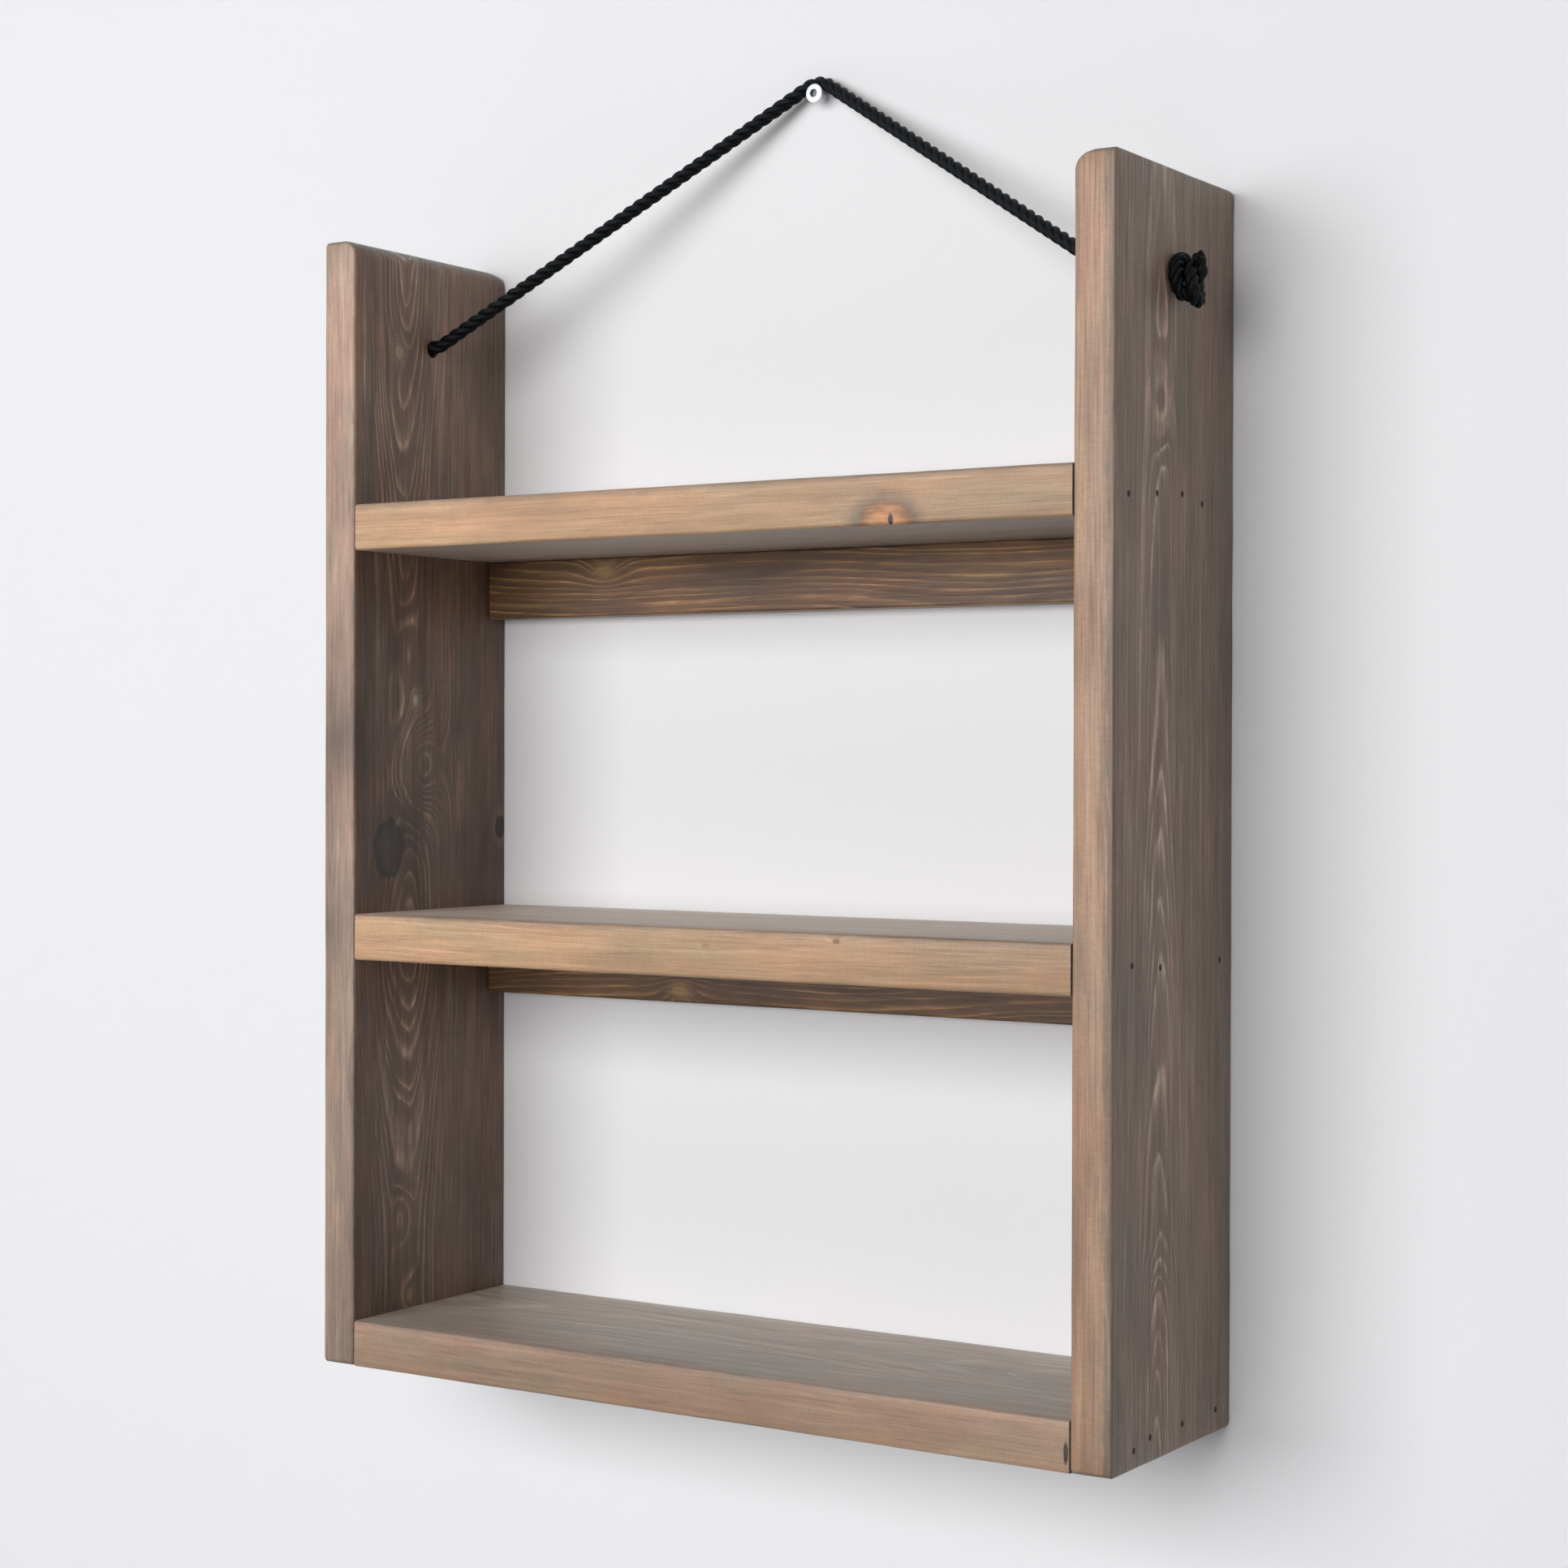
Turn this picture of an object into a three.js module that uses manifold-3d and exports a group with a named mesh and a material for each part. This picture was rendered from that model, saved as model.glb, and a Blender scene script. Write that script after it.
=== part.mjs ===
// A rustic shelf of stained pine that hangs by a twisted rope from one screw in the wall.
// Millimetres. The origin is where the screw's axis meets the wall plane: +X right, +Y into the wall, +Z up.
import * as THREE from "three";
import { mergeVertices, toCreasedNormals } from "three/addons/utils/BufferGeometryUtils.js";
import Module from "manifold-3d";

const wasm = await Module();
wasm.setup();

// Driving sizes of the wooden frame
const overallWidth = 508;
const boardHeight = 650;
const boardDepth = 140;
const sideThickness = 22.5;
const shelfThickness = 26.5;
const topShelfHeight = 497.5; // upper faces, above the boards' lower ends
const middleShelfHeight = 261.3;
const railThickness = 16.5;
const topRailHeight = 34.5;
const middleRailHeight = 26;

// Edges of the boards
const sideArrisRadius = 2;
const shelfArrisRadius = 2.6;
const railArrisRadius = 1.2;
const endArrisRadius = 0.7;
const plainCornerRadius = 3.2;
const leftEaseWidth = 10; // inner edge of each board's top end, planed round
const leftEaseHeight = 9;
const leftBackCornerRadius = 12;
const rightEaseWidth = 12;
const rightEaseHeight = 9.5;
const rightBackCornerRadius = 4.5;

// Rope, its holes and the screw it hangs on
const ropeDiameter = 7;
const ropeHoleDiameter = 10;
const ropeHoleDropHeight = 55.5; // from the boards' upper ends
const ropeHoleSetback = 70; // from the boards' front edges
const ropeStandoff = 5.8; // from the wall to the middle of the rope, over the screw
const ropeLeadLength = 5.2; // straight rope between a side board and the corner that its leg turns
const ropeMouthBendLength = 4.6; // length of each bend's tangents, at the holes and over the screw
const ropeSaddleBendLength = 10.2;
const ropeSaddleHeight = 2.7; // from the corner of the legs down to the rope that rounds it
const screwRiseHeight = 135.8; // above the rope holes
const screwShankDiameter = 4.2;
const screwTipLength = 6;
const screwWallDepth = 36;
const screwHeadDiameter = 10.6;
const screwHeadStandoff = 12.9; // foremost point of the head, from the wall
const screwHeadDomeHeight = 0.6;
const screwHeadRimThickness = 1.6;
const recessDiameter = 4.8;
const recessLobeHeight = 0.35;
const recessDepth = 1.5;

// Knots, overall: the rope is pulled tighter in them than in the legs
const knotStrandDiameter = 4.9;
const knotDepth = 14.4; // out from the board
const knotWidth = 20.9; // along the board's depth
const knotHeight = 26.7;
const knotForwardLength = 1.6; // middle of the winding, before the rope in its hole
const knotDropHeight = 2.35; // and below it
const knotTailFootLength = 1.1; // from the winding's end to where the tail turns off, outwards
const knotTailFootHeight = 2.2; // and upwards
const knotTailOutLength = 13.7; // middle of the cut end: out from the board,
const knotTailForwardLength = 3.7; // before the rope in its hole
const knotTailHeight = 9.4; // and above it
const knotTailStubLength = 4; // straight stretch behind the cut

// Finishing nails
const nailLength = 50;
const nailDiameter = 2;
const nailHeadDiameter = 2.9;
const nailHeadThickness = 1.1;
const nailTipLength = 3;
const nailSunkDepth = 0.5;

// Clearances
const seatGap = 0.3;
const jointGap = 0.4; // dry joint between a shelf's end and a side board
const overrunLength = 5; // how far a cutter reaches past what it cuts

// Nail rows, each as shares of the depth from the front and of the shelf's thickness from its underside
const nailRowShares = {
  top: [
    [0.11, 0.42],
    [0.34, 0.52],
    [0.55, 0.59],
    [0.72, 0.46],
  ],
  middle: [
    [0.15, 0.57],
    [0.38, 0.47],
    [0.89, 0.46],
  ],
  bottom: [
    [0.18, 0.36],
    [0.31, 0.48],
    [0.58, 0.47],
    [0.87, 0.46],
  ],
};
const sides = { left: -1, right: 1 };
const topEnds = {
  left: { easeWidth: leftEaseWidth, easeHeight: leftEaseHeight, backCornerRadius: leftBackCornerRadius },
  right: { easeWidth: rightEaseWidth, easeHeight: rightEaseHeight, backCornerRadius: rightBackCornerRadius },
};

// Places that follow from those sizes
const ropeHoleHeight = boardHeight - ropeHoleDropHeight;
const lowerEnd = -(screwRiseHeight + ropeHoleHeight);
const innerHalf = overallWidth / 2 - sideThickness;
const innerWidth = 2 * innerHalf;
const shelfLevels = { top: topShelfHeight, middle: middleShelfHeight, bottom: shelfThickness };
const ropeHoleY = ropeHoleSetback - boardDepth;
const ropeRadius = ropeDiameter / 2;
const ropeInHoleZ = ropeHoleHeight + ropeHoleDiameter / 2 - ropeRadius - seatGap;

const stainedPine = { roughness: 0.62, metalness: 0 };
const sideWood = new THREE.MeshStandardMaterial({ color: "#6b5e53", ...stainedPine });
const shelfWood = new THREE.MeshStandardMaterial({ color: "#a3866a", ...stainedPine });
const railWood = new THREE.MeshStandardMaterial({ color: "#5b4936", ...stainedPine });
const blackCord = new THREE.MeshStandardMaterial({ color: "#1b1b20", roughness: 0.85, metalness: 0 });
const zincSteel = new THREE.MeshStandardMaterial({ color: "#d9d9dc", roughness: 0.35, metalness: 0.8 });
const nailSteel = new THREE.MeshStandardMaterial({ color: "#4a4139", roughness: 0.6, metalness: 0.7 });

// A closed mesh as a solid that can be joined and cut
function solidFrom(geometry) {
  const bare = geometry.index ? geometry.toNonIndexed() : geometry.clone();
  for (const name of ["normal", "uv"]) bare.deleteAttribute(name);
  const merged = mergeVertices(bare, 1e-4);
  const mesh = new wasm.Mesh({
    numProp: 3,
    vertProperties: merged.attributes.position.array,
    triVerts: new Uint32Array(merged.index.array),
  });
  return new wasm.Manifold(mesh);
}

// The surface of a solid, as a geometry whose normals break at its sharp edges
function geometryFrom(solid) {
  const { numProp, numVert, triVerts, vertProperties } = solid.getMesh();
  const places = new Float32Array(3 * numVert);
  for (let i = 0; i < numVert; i++) {
    places.set(vertProperties.subarray(i * numProp, i * numProp + 3), 3 * i);
  }
  const geometry = new THREE.BufferGeometry();
  geometry.setAttribute("position", new THREE.BufferAttribute(places, 3));
  geometry.setIndex(new THREE.BufferAttribute(new Uint32Array(triVerts), 1));
  return toCreasedNormals(geometry, Math.PI / 6);
}

function cut(geometry, cutters) {
  const left = cutters.reduce((solid, cutter) => solid.subtract(solidFrom(cutter)), solidFrom(geometry));
  return geometryFrom(left);
}

function mesh(name, geometry, material) {
  const made = new THREE.Mesh(geometry, material);
  made.name = name;
  return made;
}

// Turns a profile drawn in depth and height, and extruded, so that it runs along X about the middle
const depthHeightWidth = new THREE.Matrix4().makeBasis(
  new THREE.Vector3(0, 1, 0),
  new THREE.Vector3(0, 0, 1),
  new THREE.Vector3(1, 0, 0),
);

function extrudeAlongX(profile, length, arris, arrisSteps) {
  const geometry = new THREE.ExtrudeGeometry(profile, {
    depth: length - 2 * arris,
    bevelThickness: arris,
    bevelSize: arris,
    bevelOffset: -arris,
    bevelSegments: arrisSteps,
    curveSegments: 2,
  });
  geometry.translate(0, 0, arris - length / 2);
  return geometry.applyMatrix4(depthHeightWidth);
}

// A board's section, each corner with its own radius: back on the wall plane, underside at height zero
function boardSection(depth, height, { frontLow, backLow, backTop, frontTop }) {
  const profile = new THREE.Shape();
  profile.absarc(-backLow, backLow, backLow, -Math.PI / 2, 0);
  profile.absarc(-backTop, height - backTop, backTop, 0, Math.PI / 2);
  profile.absarc(frontTop - depth, height - frontTop, frontTop, Math.PI / 2, Math.PI);
  profile.absarc(frontLow - depth, frontLow, frontLow, Math.PI, 1.5 * Math.PI);
  return profile;
}

function cylinderAlongX(radius, fromX, toX, y, z, facets) {
  const geometry = new THREE.CylinderGeometry(radius, radius, Math.abs(toX - fromX), facets);
  geometry.rotateZ(Math.PI / 2);
  return geometry.translate((fromX + toX) / 2, y, z);
}

// Where each nail goes in, shelf by shelf, in the frame of the boards' lower ends
function nailPlaces() {
  return Object.entries(nailRowShares).flatMap(([shelf, row]) =>
    row.map(([depthShare, heightShare], index) => ({
      shelf,
      name: `nail_${index + 1}`,
      y: (depthShare - 1) * boardDepth,
      z: shelfLevels[shelf] - (1 - heightShare) * shelfThickness,
    })),
  );
}

// The room that a nail needs: a pocket for its head and a pilot hole for its shank
function nailHole(direction, y, z) {
  const face = (direction * overallWidth) / 2;
  const headFloor = face - direction * (nailSunkDepth + nailHeadThickness + seatGap);
  const tipEnd = face - direction * (nailSunkDepth + nailLength + seatGap);
  const pocketRadius = nailHeadDiameter / 2 + seatGap;
  const pilotRadius = nailDiameter / 2 + seatGap;
  return [
    cylinderAlongX(pocketRadius, face + direction * overrunLength, headFloor, y, z, 12),
    cylinderAlongX(pilotRadius, face, tipEnd, y, z, 8),
  ];
}

// What is planed off the inner edge of a side board's top end: a corner outside a quarter of an ellipse
function topEdgeCutter(direction, { easeWidth, easeHeight }) {
  const profile = new THREE.Shape();
  profile.moveTo(0, -easeHeight);
  profile.absellipse(-easeWidth, -easeHeight, easeWidth, easeHeight, 0, Math.PI / 2);
  profile.lineTo(-easeWidth, overrunLength);
  profile.lineTo(overrunLength, overrunLength);
  profile.lineTo(overrunLength, -easeHeight);
  const length = boardDepth + 2 * overrunLength;
  const options = { depth: length, bevelEnabled: false, curveSegments: 5 };
  const geometry = new THREE.ExtrudeGeometry(profile, options);
  geometry.rotateX(Math.PI / 2);
  geometry.translate(-innerHalf, overrunLength, boardHeight);
  if (direction > 0) geometry.rotateZ(Math.PI).translate(0, -boardDepth, 0);
  return geometry;
}

function sideBoard(side) {
  const direction = sides[side];
  const corners = {
    frontLow: plainCornerRadius,
    backLow: plainCornerRadius,
    frontTop: plainCornerRadius,
    backTop: topEnds[side].backCornerRadius,
  };
  const section = boardSection(boardDepth, boardHeight, corners);
  const board = extrudeAlongX(section, sideThickness, sideArrisRadius, 3);
  board.translate(direction * (innerHalf + sideThickness / 2), 0, 0);
  const ropeHole = cylinderAlongX(
    ropeHoleDiameter / 2,
    direction * (innerHalf - overrunLength),
    direction * (overallWidth / 2 + overrunLength),
    ropeHoleY,
    ropeHoleHeight,
    24,
  );
  const nailHoles = nailPlaces().flatMap(({ y, z }) => nailHole(direction, y, z));
  const cutters = [ropeHole, topEdgeCutter(direction, topEnds[side]), ...nailHoles];
  return mesh(`${side}_side_board`, cut(board, cutters), sideWood);
}

function shelf(name) {
  const corners = {
    frontLow: shelfArrisRadius,
    backLow: railArrisRadius,
    backTop: railArrisRadius,
    frontTop: shelfArrisRadius,
  };
  const section = boardSection(boardDepth, shelfThickness, corners);
  const board = extrudeAlongX(section, innerWidth - 2 * jointGap, endArrisRadius, 1);
  const level = shelfLevels[name];
  board.translate(0, 0, level - shelfThickness);
  const nails = nailPlaces().filter((place) => place.shelf === name);
  const directions = Object.values(sides);
  const holes = directions.flatMap((direction) => nails.flatMap(({ y, z }) => nailHole(direction, y, z)));
  return mesh(`${name}_shelf`, cut(board, holes), shelfWood);
}

// A rail under a shelf, along its back edge
function backRail(name, height) {
  const [frontLow, backLow, backTop, frontTop] = Array(4).fill(railArrisRadius);
  const corners = { frontLow, backLow, backTop, frontTop };
  const section = boardSection(railThickness, height, corners);
  const rail = extrudeAlongX(section, innerWidth - 2 * jointGap, endArrisRadius, 1);
  rail.translate(0, 0, shelfLevels[name] - shelfThickness - seatGap - height);
  return mesh(`${name}_back_rail`, rail, railWood);
}

// One finishing nail, its head just under the face of the side board
function nail(side, { shelf: row, name, y, z }) {
  const headRadius = nailHeadDiameter / 2;
  const shankRadius = nailDiameter / 2;
  const profile = [
    [0, -nailLength],
    [shankRadius, nailTipLength - nailLength],
    [shankRadius, -nailHeadThickness],
    [headRadius, -nailHeadThickness / 2],
    [headRadius, 0],
    [0, 0],
  ].map(([radius, along]) => new THREE.Vector2(radius, along));
  const geometry = new THREE.LatheGeometry(profile, 10);
  const direction = sides[side];
  const made = mesh(`${row}_${side}_${name}`, geometry, nailSteel);
  made.rotation.z = (-direction * Math.PI) / 2;
  made.position.set(direction * (overallWidth / 2 - nailSunkDepth), y, z);
  return made;
}

// The rope's route from hole to hole, all in the slanted plane of its two legs, with a bend at each corner
function ropeRoute() {
  const end = new THREE.Vector3(-overallWidth / 2, ropeHoleY, lowerEnd + ropeInHoleZ);
  const mouth = end.clone().setX(ropeLeadLength - innerHalf);
  const overScrew = screwShankDiameter / 2 + seatGap + ropeRadius;
  const saddle = new THREE.Vector3(0, -ropeStandoff, overScrew + ropeSaddleHeight);
  const mirrored = ({ x, y, z }) => new THREE.Vector3(-x, y, z);
  const towards = (from, to, length) => from.clone().add(to.clone().sub(from).setLength(length));
  const route = new THREE.CurvePath();
  let last = end;
  const corners = [
    [mouth, saddle, ropeMouthBendLength],
    [saddle, mirrored(mouth), ropeSaddleBendLength],
    [mirrored(mouth), mirrored(end), ropeMouthBendLength],
  ];
  for (const [corner, next, reach] of corners) {
    const before = towards(corner, last, reach);
    const after = towards(corner, next, reach);
    route.add(new THREE.LineCurve3(last, before));
    route.add(new THREE.QuadraticBezierCurve3(before, corner, after));
    last = after;
  }
  route.add(new THREE.LineCurve3(last, mirrored(end)));
  return route;
}

function tube(route, diameter, steps, facets) {
  const section = new THREE.Shape().absarc(0, 0, diameter / 2, 0, 2 * Math.PI);
  return new THREE.ExtrudeGeometry(section, {
    steps,
    curveSegments: facets / 2,
    bevelEnabled: false,
    extrudePath: route,
  });
}

function rope() {
  return mesh("rope", tube(ropeRoute(), ropeDiameter, 78, 10), blackCord);
}

// The middle line of a tight overhand knot, from its hole: out from the board, along its depth and up.
// The rope winds round the line of its hole for almost a turn each way about the knot's middle, and swings
// out and in along that line, so that each end comes back through the other end's loop.
const knotShape = {
  swingShare: 0.717, // swings for each turn of the winding
  peakShare: 0.259, // turns from the knot's middle to the lowest point of its outer loop
  innerFullShare: 0.315, // turns at full width, towards the hole
  innerReachShare: 0.959, // turns before the rope is back on the line of its hole
  outerFullShare: 0.583, // the same, towards the tail
  outerReachShare: 0.961,
};
const knotTailAimShares = [0.27, -0.67, 0.69]; // the way that the tail points, as a unit vector's parts

function knotRoute(direction) {
  const { swingShare, peakShare, innerFullShare, innerReachShare } = knotShape;
  const { outerFullShare, outerReachShare } = knotShape;
  const middle = seatGap + knotDepth / 2;
  const swing = (knotDepth - knotStrandDiameter) / 2;
  const across = (knotWidth - knotStrandDiameter) / 2;
  const high = (knotHeight - knotStrandDiameter) / 2;
  const places = [[seatGap, 0, 0]];
  const count = 28;
  for (let i = 0; i <= count; i++) {
    const turns = THREE.MathUtils.lerp(-innerReachShare, outerReachShare, i / count);
    const [full, reach] = turns < 0 ? [innerFullShare, innerReachShare] : [outerFullShare, outerReachShare];
    const width = 1 - THREE.MathUtils.smoothstep(Math.abs(turns), full, reach);
    const around = 2 * Math.PI * (turns + peakShare);
    places.push([
      middle - swing * Math.sin(2 * Math.PI * swingShare * turns),
      width * (across * Math.sin(around) - knotForwardLength),
      -width * (knotDropHeight + high * Math.cos(around)),
    ]);
  }
  const [tailFoot] = places.at(-1);
  places.push([tailFoot + knotTailFootLength, 0, knotTailFootHeight]);
  const tailEnd = [knotTailOutLength, -knotTailForwardLength, knotTailHeight];
  places.push(tailEnd.map((place, axis) => place - knotTailStubLength * knotTailAimShares[axis]));
  places.push(tailEnd);
  const points = places.map(([out, along, up]) => new THREE.Vector3(direction * out, along, up));
  return new THREE.CatmullRomCurve3(points, false, "centripetal");
}

// The narrowest gap between stretches of one tube that lie two diameters or more apart along it
function leastSelfGap(route, diameter) {
  const points = route.getSpacedPoints(300);
  const apart = Math.ceil((2 * diameter * points.length) / route.getLength());
  let least = Infinity;
  for (let i = 0; i < points.length; i++) {
    for (let j = i + apart; j < points.length; j++) {
      least = Math.min(least, points[i].distanceTo(points[j]) - diameter);
    }
  }
  return least;
}

function knot(side) {
  const route = knotRoute(sides[side]);
  console.log(`${side} knot: least gap to itself ${leastSelfGap(route, knotStrandDiameter).toFixed(2)} mm`);
  const made = mesh(`${side}_knot`, tube(route, knotStrandDiameter, 76, 8), blackCord);
  made.position.set((sides[side] * overallWidth) / 2, ropeHoleY, lowerEnd + ropeInHoleZ);
  return made;
}

// A round-headed wood screw along Y, its tip in the wall, with a lobed drive recess
function wallScrew() {
  const shank = screwShankDiameter / 2;
  const head = screwHeadDiameter / 2;
  const rimFront = screwHeadDomeHeight - screwHeadStandoff;
  const domeSteps = 6;
  const profile = [[0, -screwHeadStandoff]];
  for (let i = 1; i <= domeSteps; i++) {
    const turn = (Math.PI / 2) * (i / domeSteps);
    profile.push([head * Math.sin(turn), rimFront - screwHeadDomeHeight * Math.cos(turn)]);
  }
  profile.push([head, rimFront + screwHeadRimThickness]);
  profile.push([shank, rimFront + screwHeadRimThickness]);
  profile.push([shank, screwWallDepth - screwTipLength]);
  profile.push([0, screwWallDepth]);
  const points = profile.map(([radius, along]) => new THREE.Vector2(radius, along));
  const body = new THREE.LatheGeometry(points, 24);
  const recess = new THREE.Shape();
  const outline = [];
  for (let i = 0; i < 36; i++) {
    const turn = (2 * Math.PI * i) / 36;
    const radius = recessDiameter / 2 - recessLobeHeight + recessLobeHeight * Math.cos(6 * turn);
    outline.push(new THREE.Vector2(radius * Math.cos(turn), radius * Math.sin(turn)));
  }
  recess.setFromPoints(outline);
  const depth = overrunLength + recessDepth;
  const socket = new THREE.ExtrudeGeometry(recess, { depth, bevelEnabled: false });
  socket.rotateX(-Math.PI / 2);
  socket.translate(0, -(screwHeadStandoff + overrunLength), 0);
  return mesh("wall_screw", cut(body, [socket]), zincSteel);
}

// The wooden frame stands on its lower ends, which hang below the screw
function woodenFrame() {
  const frame = new THREE.Group();
  frame.position.z = lowerEnd;
  for (const side of Object.keys(sides)) {
    frame.add(sideBoard(side));
    for (const place of nailPlaces()) frame.add(nail(side, place));
  }
  for (const name of Object.keys(shelfLevels)) frame.add(shelf(name));
  frame.add(backRail("top", topRailHeight), backRail("middle", middleRailHeight));
  return frame;
}

function hangingRope() {
  const group = new THREE.Group();
  group.add(rope(), knot("left"), knot("right"));
  return group;
}

const ropeShelf = new THREE.Group();
ropeShelf.add(wallScrew(), hangingRope(), woodenFrame());

export default ropeShelf;
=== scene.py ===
"""Dresses a rustic hanging shelf: stained pine boards, a three-strand rope and the screw that it hangs on."""

import logging
import math
from collections.abc import Callable, Iterator
from contextlib import contextmanager
from dataclasses import dataclass, field
from enum import Enum
from functools import partial

import bmesh
import bpy
from mathutils import Matrix, Vector

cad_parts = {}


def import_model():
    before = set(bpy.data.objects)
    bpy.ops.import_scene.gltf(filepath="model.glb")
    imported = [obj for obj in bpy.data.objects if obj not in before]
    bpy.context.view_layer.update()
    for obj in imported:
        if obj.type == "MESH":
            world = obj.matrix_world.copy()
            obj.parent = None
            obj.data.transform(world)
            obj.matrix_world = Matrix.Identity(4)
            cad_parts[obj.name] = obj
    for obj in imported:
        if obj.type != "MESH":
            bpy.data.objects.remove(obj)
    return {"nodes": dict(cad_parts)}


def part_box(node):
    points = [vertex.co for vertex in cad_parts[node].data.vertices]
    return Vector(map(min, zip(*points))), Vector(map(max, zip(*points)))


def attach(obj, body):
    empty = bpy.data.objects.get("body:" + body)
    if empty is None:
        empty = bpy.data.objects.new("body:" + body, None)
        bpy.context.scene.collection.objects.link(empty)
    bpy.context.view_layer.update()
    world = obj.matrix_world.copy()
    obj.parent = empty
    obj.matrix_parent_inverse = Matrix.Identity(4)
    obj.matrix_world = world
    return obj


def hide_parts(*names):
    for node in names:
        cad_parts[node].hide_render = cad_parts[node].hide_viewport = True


LOG = logging.getLogger("rope_shelf")
MM = 0.001
NEAR = 1e-5  # metres within which a point counts as lying in a plane
SHARP = math.radians(40)  # edges sharper than this are eased
SOFT = {"interpolation_type": "SMOOTHSTEP"}
RGBA = {"data_type": "RGBA"}
Place = tuple[float, float, float]
Socket = bpy.types.NodeSocket
Add = Callable[..., Socket]


class Side(Enum):
    """The two ends of the shelf, each with its direction along X."""

    LEFT = -1
    RIGHT = 1

    @property
    def label(self) -> str:
        """The word that the frame's node names use."""
        return self.name.lower()


class Grain(Enum):
    """Which axes a board's length, width and thickness run along, as indices of X, Y and Z."""

    UPRIGHT = (2, 1, 0)
    LEVEL = (0, 1, 2)


class Through(Enum):
    """The surface that a branch knot breaks: a board's broad faces, or its long edges.

    The value is the place, in BoardSpace.point, of the direction across that surface.
    """

    FACES = 1
    EDGES = 2


def linear(hex_colour: str) -> tuple[float, float, float, float]:
    """Turns an sRGB hex colour into linear values.

    Args:
        hex_colour: six hex digits after a hash sign.

    Returns:
        Red, green, blue and an opacity of 1.
    """
    parts = [int(hex_colour[i : i + 2], 16) / 255 for i in (1, 3, 5)]
    red, green, blue = [c / 12.92 if c <= 0.04045 else ((c + 0.055) / 1.055) ** 2.4 for c in parts]
    return red, green, blue, 1.0


def add_node(tree: bpy.types.NodeTree, kind: str, *inputs: object, **settings: object) -> Socket | None:
    """Adds a node to a tree.

    Args:
        tree: the node tree.
        kind: the node's class name, without the leading ShaderNode, and its operation after a space.
        inputs: what feeds its inputs in order, each a socket or a plain value, or a dict of them by name.
        settings: the node's other properties.

    Returns:
        Its first working output, whose .node is the node, or None for an output node.
    """
    name, _, operation = kind.partition(" ")
    node = tree.nodes.new("ShaderNode" + name)
    if operation:
        node.operation = operation
    for key, value in settings.items():
        setattr(node, key, value)
    for i, given in enumerate(inputs):
        for key, source in (given if isinstance(given, dict) else {i: given}).items():
            if isinstance(source, Socket):
                tree.links.new(source, node.inputs[key])
            else:
                node.inputs[key].default_value = source
    return next((socket for socket in node.outputs if socket.enabled), None)


def new_material(name: str) -> tuple[bpy.types.Material, Add]:
    """Makes an empty node material.

    Args:
        name: what the real material is.

    Returns:
        The material, and add_node for its tree.
    """
    material = bpy.data.materials.new(name)
    material.use_nodes = True
    material.node_tree.nodes.clear()
    return material, partial(add_node, material.node_tree)


@dataclass(frozen=True)
class Swirl:
    """A soft round hill in the growth rings or in the stain, in millimetres from the middle of the face."""

    along: float
    across: float
    height: float
    reach_along: float
    reach_across: float


@dataclass(frozen=True)
class Knot:
    """A branch cut across, in millimetres from the middle of the surface that it breaks."""

    along: float
    across: float
    radius: float
    stretch: float = 1.3
    through: Through = Through.FACES
    swell: float = 5.0
    core: str = "#2e211a"
    halo: str = "#6e4a30"
    glow: float = 0.7
    spread: float = 1.9
    bark: float = 0.5


@dataclass(frozen=True)
class BoardSpace:
    """A board as its shader nodes see it.

    point holds sockets for the place along, across and into the board, in millimetres from its middle, and
    half is half the board's size in those directions.
    """

    add: Add
    point: tuple[Socket, ...]
    half: tuple[float, ...]
    seed: float

    def noise(self, grain_mm: Place, detail: float, shift: float = 0.0) -> Socket:
        """Noise drawn out along the board's length.

        Args:
            grain_mm: the noise's grain along, across and into the board.
            detail: octaves of finer noise.
            shift: moves the noise, so that two with one grain differ.

        Returns:
            The noise, from 0 to 1.
        """
        start = tuple((self.seed + shift) * k for k in (1.0, 1.7, 2.3))
        vector = self.add("CombineXYZ", *self.point)
        scaled = self.add("VectorMath MULTIPLY_ADD", vector, tuple(1 / g for g in grain_mm), start)
        return self.add("TexNoise", {"Vector": scaled, "Scale": 1.0, "Detail": detail, "Roughness": 0.55})

    def bell(self, along: Socket, other: Socket, hill: Swirl) -> Socket:
        """A soft round hill.

        Args:
            along: socket for the place along the board, in millimetres.
            other: socket for the place across or into it.
            hill: where it stands and how far it reaches.

        Returns:
            1 at its top, falling to 0 all round.
        """
        place = self.add("CombineXYZ", along, other)
        apart = self.add("VectorMath SUBTRACT", place, (hill.along, hill.across, 0.0))
        apart = self.add("VectorMath MULTIPLY", apart, (1 / hill.reach_along, 1 / hill.reach_across, 0.0))
        square = self.add("VectorMath DOT_PRODUCT", apart, apart)
        return self.add("Math EXPONENT", self.add("Math MULTIPLY", square, -0.5))


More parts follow.
